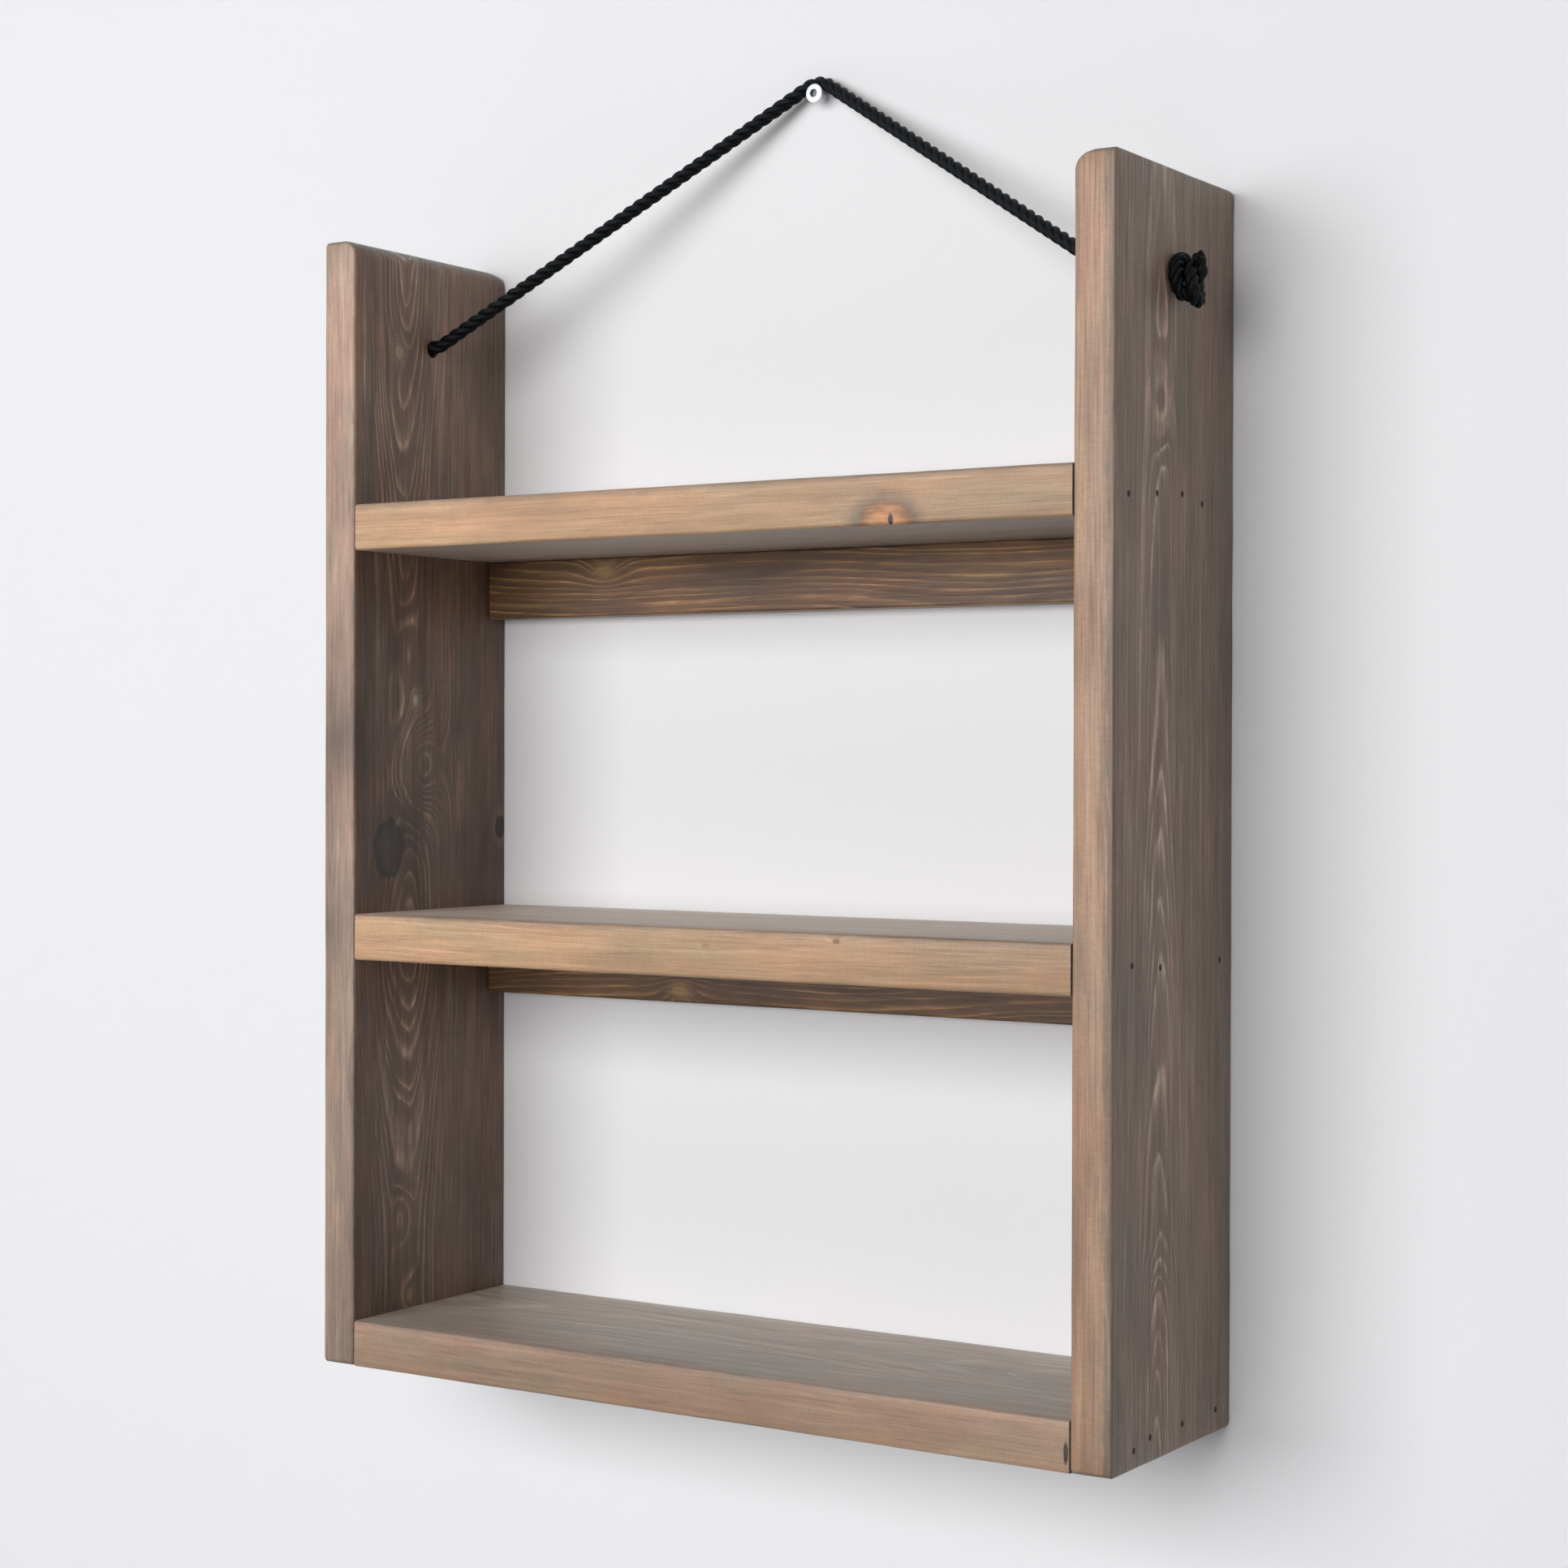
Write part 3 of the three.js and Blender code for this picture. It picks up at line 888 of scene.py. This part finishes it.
    @staticmethod
    def _bore(board: bpy.types.Object, place: Place, radius: float, depth: float) -> None:
        """Drills a round hole along X.

        Args:
            board: the board.
            place: the middle of the drill, in metres.
            radius: the hole's radius.
            depth: the drill's length.
        """
        bpy.ops.object.select_all(action="DESELECT")
        bpy.ops.mesh.primitive_cylinder_add(vertices=32, radius=radius, depth=depth)
        drill = bpy.context.object
        with editing():
            bpy.ops.transform.rotate(value=math.pi / 2, orient_axis="Y", center_override=(0, 0, 0))
            bpy.ops.transform.translate(value=place)
        combine(board, drill, "DIFFERENCE")

    def _nail_places(self, side: Side) -> list[Place]:
        """Finds where the nails' heads lie in one board's outer face.

        Args:
            side: which board.

        Returns:
            The middle of each head's outer face, in metres.
        """
        places = []
        for name in self.nodes:
            if f"_{side.label}_nail_" in name:
                low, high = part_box(name)
                outer = high.x if side is Side.RIGHT else low.x
                places.append((outer, (low.y + high.y) / 2, (low.z + high.z) / 2))
        return places

    def build(self) -> None:
        """Makes both boards."""
        for side in Side:
            node = f"{side.label}_side_board"
            low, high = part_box(node)
            board = self._outline(side, low, high)
            self._ease(board)
            cut_across(2, low, high, self.strips[0])
            cut_across(1, low, high, self.strips[1])
            wear(board, self.hollow_depth, self.hollow_width)
            middle = (low.x + high.x) / 2
            self._bore(board, (middle, self.hole_y, self.hole_z), self.hole_radius, self.hole_reach)
            for place in self._nail_places(side):
                self._bore(board, place, self.nail_radius, self.nail_reach)
            material = self.finish(side).material(low, high, Grain.UPRIGHT)
            finish_piece(board, material, "shelf_frame", "side_wood", node)


@dataclass
class ShelfBoards:
    """The three boards that things stand on, and the rails under two of them."""

    front_arris: float = 1.8 * MM
    back_arris: float = 1.2 * MM
    end_arris: float = 0.25 * MM
    strips: tuple[int, int] = (40, 8)  # along the board and across it
    hollow_depth: float = 0.4 * MM
    hollow_width: float = 40 * MM

    @staticmethod
    def finishes() -> dict[str, StainedPine]:
        """The wood of each board.

        Returns:
            A finish for each node.
        """
        shelf = {"early": "#8f7f72", "late": "#bdada0", "edge_early": "#ad8b6a", "edge_late": "#d9b996"}
        shelf["lap"] = (-3.0, 0.65)
        shapes = {"squeeze": 0.9, "slope": 0.01, "edge_contrast": 0.3, "contrast": 0.45, "figure_mm": 60.0}
        shapes |= {"fibres": 0.13, "blotches": 0.14}
        rail = {"early": "#63452c", "late": "#b98e5c", "edge_early": "#63452c", "edge_late": "#b98e5c"}
        rail |= {"figure_mm": 60.0, "blotches": 0.36, "edge_contrast": 0.8, "contrast": 0.8, "squeeze": 1.0}
        top_knots = (
            Knot(124, -12.5, 12, 1.35, Through.EDGES, 12, "#bb8458", "#6f5c50", glow=0.75, spread=1.55),
            Knot(127.3, -10.5, 2.6, 0.5, Through.EDGES, 0, "#0e0806", "#7d4a2c", spread=1.4),
        )
        middle_knots = (
            Knot(14.3, 4.1, 1.1, 2.2, Through.EDGES, 4, "#9a7656", "#ac8763", bark=0.9),
            Knot(95.4, 9.3, 1.3, 1.5, Through.EDGES, 3, "#7d5b41", "#a8815c", bark=0.9),
        )
        return {
            "top_shelf": StainedPine(
                "stained pine, top shelf", **shelf, **shapes, seed=11.3, fade=-0.16, pith_mm=(20.0, -44.0),
                knots=top_knots,
            ),
            "middle_shelf": StainedPine(
                "stained pine, middle shelf", **shelf, **shapes, seed=15.9, fade=-0.19, pith_mm=(-35.0, -40.0),
                knots=middle_knots,
            ),
            "bottom_shelf": StainedPine(
                "stained pine, bottom shelf", "#8e8176", "#c2bab0", "#9b7f69", "#cbac92", **shapes, seed=21.2,
                pith_mm=(15.0, -48.0), lap=(-2.0, 0.8),
                # The knot at the right end is no knot: a thin dark mark, painted shade of the gap where the
                # shelf meets the side board.
                knots=(Knot(229.2, -3, 5, 0.25, Through.EDGES, 0, "#2a211c", "#6a5548", glow=0.6, spread=1.4),),
                shades=(Swirl(0, -70, -0.12, 60, 40), Swirl(-110, -26, -0.1, 60, 60)),
            ),
            "top_back_rail": StainedPine(
                "stained pine, upper rail", **rail, seed=27.4, ring_mm=4.2, pith_mm=(-12.0, -44.0),
                slope=0.02, bow=(2.5, 260.0, 40.0), wander_mm=4.5, shades=(Swirl(-95, 0, 0.5, 16, 60),),
                knots=(Knot(-143.7, 9.8, 4.5, 1.5, Through.EDGES, 9, "#8d6c42", "#7d5f3c", bark=0.85),),
            ),
            "middle_back_rail": StainedPine(
                "stained pine, lower rail", **rail, seed=33.8, ring_mm=3.8, pith_mm=(-14.0, 38.0),
                slope=-0.03, bow=(3.0, 310.0, -60.0), wander_mm=5.0,
                knots=(Knot(-88.3, -6.7, 4.0, 1.5, Through.EDGES, 9, "#94744c", "#8a6a44", bark=0.85),),
            ),
        }

    def build(self) -> None:
        """Makes the shelves and the rails."""
        for node, pine in self.finishes().items():
            low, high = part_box(node)
            board = start_block(node + "_board", low, high)
            is_rail = node.endswith("rail")
            front = self.back_arris if is_rail else self.front_arris
            for y, radius, steps in ((low.y, front, 4), (high.y, self.back_arris, 3)):
                long_edge = lies(y=y)
                bevel_where(board, lambda a, b: long_edge(a, b) and abs(a.z - b.z) < NEAR, radius, steps)
            modify(board, "BEVEL", width=self.end_arris, segments=1, limit_method="ANGLE", angle_limit=SHARP)
            cut_across(0, low, high, self.strips[0])
            if not is_rail:
                cut_across(1, low, high, self.strips[1])
            wear(board, self.hollow_depth, self.hollow_width)
            slot = "rail_wood" if is_rail else "shelf_wood"
            finish_piece(board, pine.material(low, high, Grain.LEVEL), "shelf_frame", slot, node)


@dataclass
class HangingRope:
    """The rope, from hole to hole over the screw, and the overhand knots that hold its ends."""

    diameter: float = 7 * MM
    over_strands: float = 8.0 * MM
    lay: float = 21.4 * MM
    end_x: float = 254 * MM
    mouth_x: float = 226.3 * MM
    hole_y: float = -70 * MM
    hole_z: float = -134.6 * MM
    saddle_y: float = -5.8 * MM
    saddle_z: float = 9.1 * MM
    mouth_bend: float = 4.6 * MM
    saddle_bend: float = 10.2 * MM
    bend_steps: int = 12
    seat: float = 0.3 * MM
    knot_strand: float = 7.3 * MM
    knot_lay: float = 16.05 * MM
    knot_core: float = 4.9 * MM
    knot_depth: float = 14.4 * MM
    knot_width: float = 20.9 * MM
    knot_height: float = 26.7 * MM
    knot_forward: float = 1.6 * MM
    knot_drop: float = 2.35 * MM
    tail_foot: Place = (1.1 * MM, 0.0, 2.2 * MM)
    tail_end: Place = (13.7 * MM, -3.7 * MM, 9.4 * MM)
    tail_aim: Place = (0.27, -0.67, 0.69)
    tail_stub: float = 4 * MM

    def route(self) -> list[Vector]:
        """The rope's middle line, in the slanted plane of its two legs, with a bend at each corner.

        Returns:
            Points about two millimetres apart, and closer in the bends.
        """
        end = Vector((-self.end_x, self.hole_y, self.hole_z))
        mouth = Vector((-self.mouth_x, self.hole_y, self.hole_z))
        saddle = Vector((0, self.saddle_y, self.saddle_z))
        flip = Matrix.Diagonal((-1, 1, 1))
        corners = (
            (mouth, saddle, self.mouth_bend),
            (saddle, flip @ mouth, self.saddle_bend),
            (flip @ mouth, flip @ end, self.mouth_bend),
        )
        points, last = [end], end
        for corner, following, reach in corners:
            before = corner + (last - corner).normalized() * reach
            after = corner + (following - corner).normalized() * reach
            points += self._line(last, before)
            for i in range(1, self.bend_steps + 1):
                t = i / self.bend_steps
                points.append(before * (1 - t) ** 2 + corner * 2 * t * (1 - t) + after * t * t)
            last = after
        return points + self._line(last, flip @ end)

    @staticmethod
    def _line(start: Vector, end: Vector) -> list[Vector]:
        """Points along a straight stretch, without its first."""
        count = max(2, round((end - start).length / (2 * MM)))
        return [start.lerp(end, i / count) for i in range(1, count + 1)]

    def knot_route(self, side: Side) -> list[Vector]:
        """The middle line of the overhand knot outside one board.

        The line winds about the knot's middle while it swings to and from the board. Towards either end the
        winding closes up, from its full width at the first number of turns to none at the second.

        Args:
            side: which board.

        Returns:
            Points along it, in metres.
        """
        swings, peak, inner, outer, steps = 0.717, 0.259, (0.315, 0.959), (0.583, 0.961), 28
        middle = self.seat + self.knot_depth / 2
        swing, across, high = (
            (size - self.knot_core) / 2 for size in (self.knot_depth, self.knot_width, self.knot_height)
        )
        places = [Vector((self.seat, 0, 0))]
        for i in range(steps + 1):
            turns = -inner[1] + (inner[1] + outer[1]) * i / steps
            full, reach = inner if turns < 0 else outer
            t = min(max((abs(turns) - full) / (reach - full), 0), 1)
            width = 1 - t * t * (3 - 2 * t)
            around = 2 * math.pi * (turns + peak)
            out = middle - swing * math.sin(2 * math.pi * swings * turns)
            aside = width * (across * math.sin(around) - self.knot_forward)
            places.append(Vector((out, aside, -width * (self.knot_drop + high * math.cos(around)))))
        tail = Vector(self.tail_end)
        places += [places[-1] + Vector(self.tail_foot), tail - self.tail_stub * Vector(self.tail_aim), tail]
        start = Vector((side.value * self.end_x, self.hole_y, self.hole_z))
        return smooth_line([start + Vector((side.value * p.x, p.y, p.z)) for p in places], 12)

    def build(self) -> None:
        """Makes the rope and both knots."""
        finish = LaidRope().material()
        path = self.route()
        rope = sweep_strands("twisted_rope", path, self.over_strands, self.lay)
        finish_piece(rope, finish, "hanging_rope", "rope_fibre", "rope")
        for side in Side:
            line = self.knot_route(side)
            knot = sweep_strands(f"{side.label}_overhand_knot", line, self.knot_strand, self.knot_lay)
            finish_piece(knot, finish, "hanging_rope", "rope_fibre", f"{side.label}_knot")
        length = sum((b - a).length for a, b in zip(path, path[1:]))
        LOG.info("rope: %.1f mm between the knots", length / MM)


def smooth_line(points: list[Vector], count: int) -> list[Vector]:
    """Draws a smooth curve through points, with steps that follow their spacing.

    Args:
        points: the points.
        count: new points for each stretch.

    Returns:
        The denser line.
    """
    padded = [2 * points[0] - points[1], *points, 2 * points[-1] - points[-2]]
    line = [points[0].copy()]
    for p0, p1, p2, p3 in zip(padded, padded[1:], padded[2:], padded[3:]):
        t = [0.0]
        for a, b in ((p0, p1), (p1, p2), (p2, p3)):
            t.append(t[-1] + max((b - a).length, 1e-7) ** 0.5)
        for i in range(1, count + 1):
            u = t[1] + (t[2] - t[1]) * i / count
            a1 = p0.lerp(p1, (u - t[0]) / (t[1] - t[0]))
            a2 = p1.lerp(p2, (u - t[1]) / (t[2] - t[1]))
            a3 = p2.lerp(p3, (u - t[2]) / (t[3] - t[2]))
            b1 = a1.lerp(a2, (u - t[0]) / (t[2] - t[0]))
            b2 = a2.lerp(a3, (u - t[1]) / (t[3] - t[1]))
            line.append(b1.lerp(b2, (u - t[1]) / (t[2] - t[1])))
    return line


def even_line(points: list[Vector], step: float) -> list[Vector]:
    """Spaces a line's points evenly.

    Args:
        points: the line.
        step: the spacing, in metres.

    Returns:
        The new points, from the first to the last of the old.
    """
    lengths = [0.0]
    for a, b in zip(points, points[1:]):
        lengths.append(lengths[-1] + (b - a).length)
    count = max(2, round(lengths[-1] / step))
    even, k = [], 0
    for i in range(count + 1):
        want = lengths[-1] * i / count
        while k < len(points) - 2 and lengths[k + 1] < want:
            k += 1
        span = lengths[k + 1] - lengths[k]
        even.append(points[k].lerp(points[k + 1], (want - lengths[k]) / span if span else 0))
    return even


def carried_frames(line: list[Vector]) -> list[tuple[Vector, Vector]]:
    """Carries a frame along a line without turning it about the line.

    Args:
        line: evenly spaced points.

    Returns:
        For each point its two side directions, right-handed with the line's own.
    """
    tangents = []
    for i in range(len(line)):
        a, b = line[max(i - 1, 0)], line[min(i + 1, len(line) - 1)]
        tangents.append((b - a).normalized())
    normal = tangents[0].orthogonal().normalized()
    frames = []
    for i, tangent in enumerate(tangents):
        if i:
            normal = tangents[i - 1].rotation_difference(tangent) @ normal
        normal = (normal - tangent * normal.dot(tangent)).normalized()
        frames.append((normal, tangent.cross(normal)))
    return frames


def sweep_strands(name: str, path: list[Vector], diameter: float, lay: float) -> bpy.types.Object:
    """Lays three strands right-handed round a line, each a closed tube with a UV map along it.

    Args:
        name: the piece's name.
        path: the rope's middle line.
        diameter: over the strands.
        lay: the length in which a strand goes once round.

    Returns:
        The rope.
    """
    strands, sides, step = 3, 12, 0.75 * MM
    press = 1.12  # how much thicker a strand is than three that only touch
    thick = diameter / 2 / (1 + 2 / math.sqrt(3)) * press
    orbit = diameter / 2 - thick
    line = even_line(path, step)
    frames = carried_frames(line)
    shape = bmesh.new()
    layer = shape.loops.layers.uv.new("lay")
    for strand in range(strands):
        centres = []
        for i, (point, (normal, side)) in enumerate(zip(line, frames)):
            turn = 2 * math.pi * (i * step / lay + strand / strands)
            centres.append(point + (normal * math.cos(turn) + side * math.sin(turn)) * orbit)
        rings = []
        for centre, (normal, side) in zip(centres, carried_frames(centres)):
            ring = []
            for k in range(sides):
                turn = 2 * math.pi * k / sides
                ring.append(shape.verts.new(centre + (normal * math.cos(turn) + side * math.sin(turn)) * thick))
            rings.append(ring)
        for i, (ring, following) in enumerate(zip(rings, rings[1:])):
            for k in range(sides):
                m = (k + 1) % sides
                face = shape.faces.new((ring[k], ring[m], following[m], following[k]))
                face.smooth = True
                places = ((k, i), (k + 1, i), (k + 1, i + 1), (k, i + 1))
                for loop, (around, along) in zip(face.loops, places):
                    loop[layer].uv = (around / sides, along * step)
        shape.faces.new(reversed(rings[0]))
        shape.faces.new(rings[-1])
    mesh = bpy.data.meshes.new(name)
    shape.to_mesh(mesh)
    shape.free()
    return add_object(name, mesh)


@dataclass
class Fasteners:
    """The wall screw and the finishing nails, whose own nodes are dressed."""

    nodes: dict[str, bpy.types.Object]
    zinc: PlatedSteel = PlatedSteel("zinc-plated steel", "#f2f2f6", "#e2e3e8", 0.36, 0.2, (2.2, 11.2))
    dulled: PlatedSteel = PlatedSteel("dulled steel nail", "#4a3730", "#2b201c", 0.6, 0.3)

    def build(self) -> None:
        """Dresses the screw and the nails."""
        screw, nail = self.zinc.material(), self.dulled.material()
        for name, node in self.nodes.items():
            if name == "wall_screw" or "_nail_" in name:
                for slot in node.material_slots:
                    slot.material = screw if name == "wall_screw" else nail


@dataclass
class Studio:
    """The room: a pale wall and floor, soft lamps and the camera."""

    eye: Place = (0.88900, -1.42224, -0.37808)
    yaw: float = 0.57214
    pitch: float = -0.00907
    roll: float = 0.00265
    lens_mm: float = 67.103
    sensor_mm: float = 36.0
    target: Place = (0.0, 0.0, -0.35)
    sky: str = "#eceefc"
    sky_seen: tuple[float, float] = (0.03, 0.9)  # how bright the room is as a light, and as it is seen

    def camera(self) -> None:
        """Stands the camera where it sees the shelf from the front and a little from the right."""
        flat = math.cos(self.pitch)
        forward = Vector((-math.sin(self.yaw) * flat, math.cos(self.yaw) * flat, math.sin(self.pitch)))
        level = Vector((math.cos(self.yaw), math.sin(self.yaw), 0))
        above = level.cross(forward)
        right = level * math.cos(self.roll) + above * math.sin(self.roll)
        up = above * math.cos(self.roll) - level * math.sin(self.roll)
        lens = bpy.data.cameras.new("camera")
        lens.lens, lens.sensor_width, lens.sensor_fit = self.lens_mm, self.sensor_mm, "HORIZONTAL"
        camera = add_object("camera", lens)
        camera.matrix_world = Matrix.Translation(self.eye) @ Matrix((right, up, -forward)).transposed().to_4x4()
        bpy.context.scene.camera = camera

    def room(self) -> None:
        """Puts up the wall behind the shelf and the floor below it."""
        for name, size, middle, turn, paint in (
            ("wall", 6, (0, -0.0004, 0.3), math.pi / 2, WallPaint()),
            ("floor", 8, (0, -4.0, -2.5), 0.0, WallPaint("matt floor paint", lift=0.55)),
        ):
            bpy.ops.object.select_all(action="DESELECT")
            bpy.ops.mesh.primitive_plane_add(size=size, location=middle, rotation=(turn, 0, 0))
            plane = bpy.context.object
            plane.name = name
            plane.data.materials.append(paint.material())

    def lamps(self) -> None:
        """Hangs soft lamps that point at the shelf: each has its place, its width and height, and its watts."""
        for name, place, size, power, colour in (
            ("window", (-0.5, -3.4, 0.22), (3.57, 1.9), 132, "#fefeff"),
            ("ceiling", (0.0, -1.6, 2.6), (2.2, 2.2), 3, "#ffffff"),
            ("back_fill", (0.0, 3.2, 0.8), (3.0, 3.0), 60, "#ffffff"),
        ):
            glow = bpy.data.lights.new(name, "AREA")
            glow.shape, glow.energy = "RECTANGLE", power
            glow.size, glow.size_y = size
            glow.color = linear(colour)[:3]
            lamp = add_object(name, glow)
            lamp.location = place
            lamp.rotation_euler = (Vector(self.target) - Vector(place)).to_track_quat("-Z", "Y").to_euler()

    def air(self) -> None:
        """Sets the even light of the room, which is faint but looks bright."""
        world = bpy.data.worlds.new("room")
        world.use_nodes = True
        bpy.context.scene.world = world
        world.node_tree.nodes.clear()
        add = partial(add_node, world.node_tree)
        path = add("LightPath").node.outputs
        straight = add("Math MAXIMUM", path["Is Camera Ray"], path["Is Glossy Ray"])
        seen = add("Math MAXIMUM", straight, path["Is Transmission Ray"])
        strength = add("MapRange", seen, 0.0, 1.0, *self.sky_seen)
        add("OutputWorld", add("Background", linear(self.sky), strength))

    def build(self) -> None:
        """Sets up the whole room."""
        bpy.context.scene.view_settings.view_transform = "Standard"
        self.camera()
        self.room()
        self.lamps()
        self.air()


def main() -> None:
    """Builds the scene round the frame."""
    logging.basicConfig(level=logging.INFO, format="%(name)s: %(message)s")
    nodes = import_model()["nodes"]
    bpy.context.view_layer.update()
    for part in (Studio(), HangingRope(), SideBoards(nodes), ShelfBoards(), Fasteners(nodes)):
        part.build()


if __name__ == "__main__":
    main()
